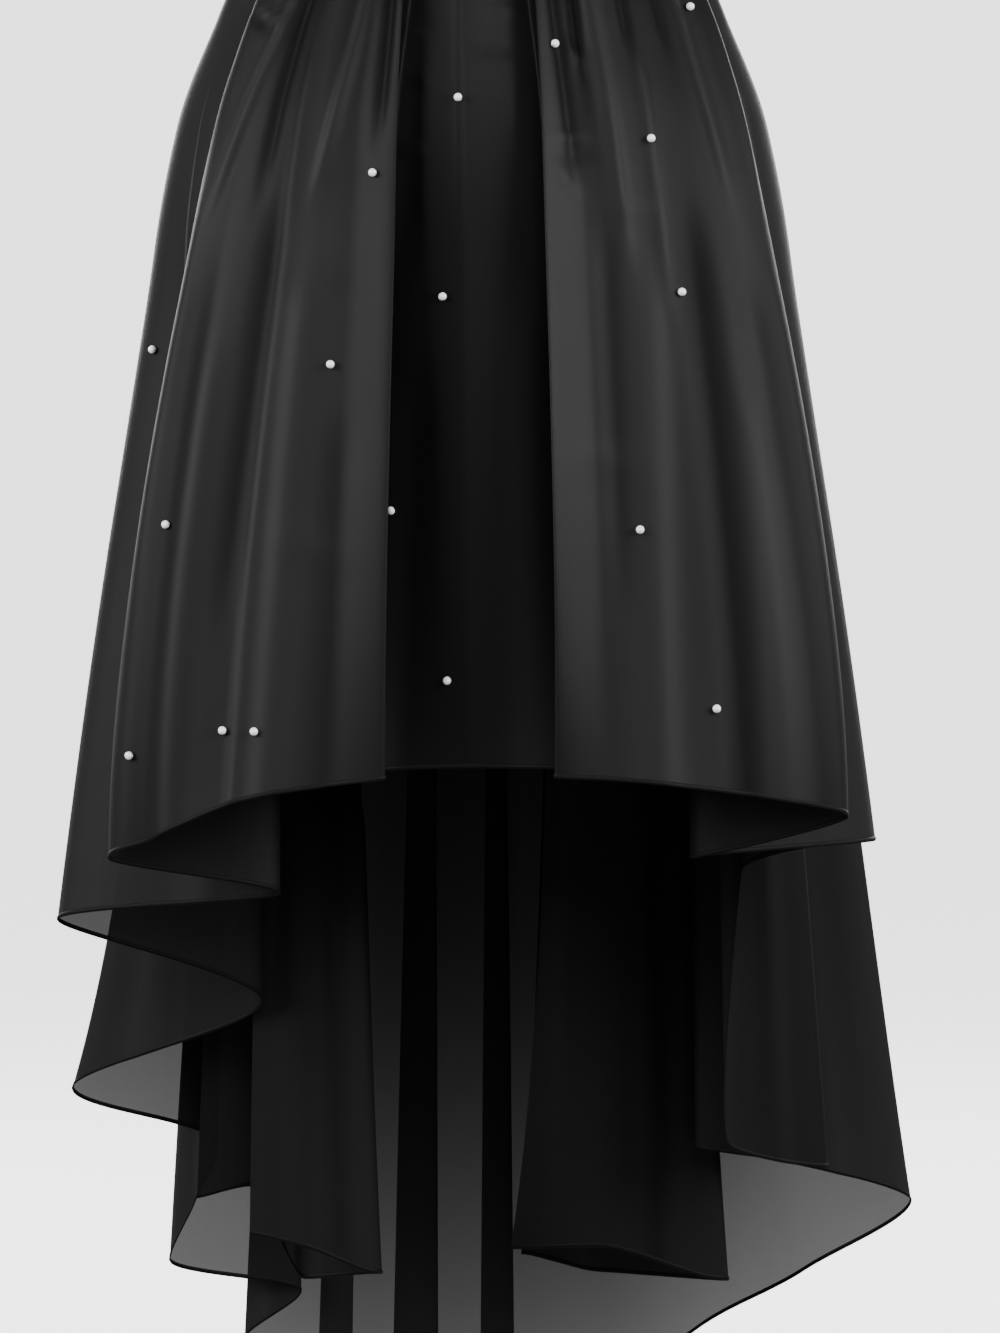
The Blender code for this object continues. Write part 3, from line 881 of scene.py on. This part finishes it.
for name, folds, flat, area in (
    ("inner_layer_left", INNER_LEFT_FOLDS, (0.36, 0.88), 0.14),
    ("inner_layer_right", INNER_RIGHT_FOLDS, (0.40, 0.89), 0.19),
):
    sheet = Sheet(folds, False, [0.0] * len(folds), [row[6] * FAR_WALL_LAYER for row in folds])
    grid, places = sheet.grid(0, len(folds) - 1, COLUMNS_A_ROW, CLOTH_LEVELS)
    grid, relief = creased(grid, places, CLOTH_LEVELS, INNER_CREASES, ())
    low = CLOTH_LEVELS[:, None]
    # Painted sheen, darker towards the waist as painted shade, with painted highlight on crease crests and
    # painted shade in their troughs.
    silk = np.interp(low, (0.1, 0.6, 1.0), INNER_PAINTED_SHEEN) * np.clip(1 + relief / (5 * MM), 0.4, 1.5)
    through = INNER_THROUGH * 10 ** (-INNER_FALL * (1 - low)) * np.ones_like(relief)
    piece = cloth_object(name + "_cloth", grid, organza, tones={"silk": silk, "through": through})
    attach(piece, "root")
    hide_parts(name)
    hem = hem_roll(name + "_hem", grid, False)


# The pearls: small round white pearls with a drilled hole, each sewn down with black thread
# through the hole. They are scattered thinly over the upper cloth.
PEARL_RADIUS = 2.6 * MM
PEARL_HOLE = 0.45 * MM
THREAD_RADIUS = 0.22 * MM

# Where each pearl of the front is seen, in mm across and down from the waist seam, on the
# plane through the waist, and the turn of its hole in degrees from level.
FRONT_PEARLS = (
    (138.3, 44.8, 20), (51.3, 67.8, -35), (-8.2, 101.8, 10), (114.0, 128.0, 60),
    (-62.6, 149.8, 30), (-18.5, 228.5, -20), (133.2, 225.9, 15), (-90.2, 272.0, 45),
    (-202.8, 262.4, 90), (-194.5, 374.4, 0), (-51.8, 365.4, 70), (107.6, 377.6, 25),
    (-15.9, 474.2, -40), (156.2, 492.2, 50), (-159.3, 506.2, 10), (-138.8, 506.9, 80),
    (-218.8, 522.2, 35),
)
# The pearls of the sides and the back: place along the fold table, and share of the drop.
OTHER_PEARLS = (
    (9.3, 0.16), (9.6, 0.38), (10.4, 0.26), (11.5, 0.10), (11.3, 0.44), (12.5, 0.32), (13.4, 0.20),
    (14.5, 0.42), (15.5, 0.12), (16.5, 0.30), (18.4, 0.18), (18.6, 0.40), (20.5, 0.08), (20.6, 0.28),
    (21.5, 0.42), (22.4, 0.16), (22.7, 0.34), (23.6, 0.24), (24.4, 0.44), (25.6, 0.12), (26.4, 0.33),
)

pearl_white, shader, start = new_material(
    "pearl_white", Roughness=0.22, Specular_IOR_Level=0.6, Coat_Weight=0.5, Coat_Roughness=0.12)
spot = start.node("ShaderNodeTexCoord", {}, output=3)
lustre = start.node("ShaderNodeTexNoise", {}, Vector=spot, Scale=260.0, Detail=2.0)
feed(shader, "Base Color", start.node(
    "ShaderNodeMix", {"data_type": "RGBA"}, output=2, i0=lustre,
    i6=(0.62, 0.61, 0.59, 1), i7=(0.78, 0.77, 0.75, 1)))
feed(shader, "Roughness", 0.18 + lustre * 0.1)
thread_black, shader, start = new_material("pearl_thread_black", Roughness=0.6)
spot = start.node("ShaderNodeTexCoord", {}, output=3)
twist = start.node("ShaderNodeTexNoise", {}, Vector=spot, Scale=900.0)
feed(shader, "Base Color", start.node(
    "ShaderNodeMix", {"data_type": "RGBA"}, output=2, i0=twist,
    i6=(0.004, 0.004, 0.004, 1), i7=(0.016, 0.016, 0.016, 1)))


def ring_surface(rings, points, faces, capped):
    """Adds rings of points joined side to side, with an end cap where asked."""
    first = len(points)
    count = len(rings[0])
    for ring in rings:
        points += [tuple(point) for point in ring]
    for row in range(len(rings) - 1):
        for side in range(count):
            beside = (side + 1) % count
            here = first + row * count
            faces.append((here + side, here + beside, here + count + beside, here + count + side))
    if capped:
        faces.append(tuple(first + side for side in reversed(range(count))))
        faces.append(tuple(first + (len(rings) - 1) * count + side for side in range(count)))


def sew_pearl(spot, out, degrees, pearls, threads):
    """A drilled pearl seated on the cloth at a spot, and its loop of thread."""
    down = Vector((0, 0, -1)) - out * out.dot(Vector((0, 0, -1)))
    down.normalize()
    level = out.cross(down)
    turn = math.radians(degrees)
    hole = level * math.cos(turn) + down * math.sin(turn)
    side_way = out.cross(hole)
    centre = spot + out * PEARL_RADIUS * 0.86
    edge = math.asin(PEARL_HOLE / PEARL_RADIUS)
    rings = []
    profile = [(PEARL_HOLE * 0.8, -PEARL_RADIUS * 0.8)]
    for step in range(15):
        angle = edge + (math.pi - 2 * edge) * step / 14
        profile.append((PEARL_RADIUS * math.sin(angle), -PEARL_RADIUS * math.cos(angle)))
    profile.append((PEARL_HOLE * 0.8, PEARL_RADIUS * 0.8))
    for radius, reach in profile:
        rings.append([
            centre + hole * reach + (out * math.sin(2 * math.pi * side / 20)
                                     + side_way * math.cos(2 * math.pi * side / 20)) * radius
            for side in range(20)])
    ring_surface(rings, *pearls, True)
    for way in (-1, 1):
        path = [
            centre + hole * way * PEARL_RADIUS * 0.82,
            centre + hole * way * PEARL_RADIUS * 1.04 - out * PEARL_RADIUS * 0.1,
            centre + hole * way * PEARL_RADIUS * 1.08 - out * PEARL_RADIUS * 0.5,
            centre + hole * way * PEARL_RADIUS * 0.9 - out * PEARL_RADIUS * 0.95,
        ]
        rings = [
            [point + (side_way * math.cos(2 * math.pi * side / 6) + out * math.sin(2 * math.pi * side / 6)
                      + hole * 0.4 * math.sin(2 * math.pi * side / 6)) * THREAD_RADIUS for side in range(6)]
            for point in path]
        ring_surface(rings if way > 0 else rings[::-1], *threads, True)


front_tree, back_tree = (
    BVHTree.FromPolygons(
        [vertex.co for vertex in piece.data.vertices], [face.vertices[:] for face in piece.data.polygons])
    for piece, grid, places in panels
)
pearls = ([], [])
threads = ([], [])
for across, down, degrees in FRONT_PEARLS:
    way = (Vector((across * MM, 0, -down * MM)) - eye).normalized()
    spot, out, face, distance = front_tree.ray_cast(eye, way)
    if spot is None:
        continue
    sew_pearl(spot, out if out.dot(way) < 0 else -out, degrees, pearls, threads)
for number, (place, level) in enumerate(OTHER_PEARLS):
    spot = Vector(overlay.point(overlay.line(place), level))
    middle = Vector((0, 0, spot.z))
    outside = middle + (spot - middle) * 3
    spot, out, face, distance = back_tree.ray_cast(outside, (spot - outside).normalized())
    if spot is None:
        continue
    sew_pearl(spot, out if out.dot(outside - spot) > 0 else -out, 40 * number, pearls, threads)

for name, made, material in (
    ("pearls", pearls, pearl_white), ("pearl_threads", threads, thread_black)
):
    mesh = bpy.data.meshes.new(name)
    mesh.from_pydata(made[0], [], made[1])
    mesh.materials.append(material)
    mesh.shade_smooth()
    piece = bpy.data.objects.new(name, mesh)
    bpy.context.scene.collection.objects.link(piece)
    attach(piece, "root")
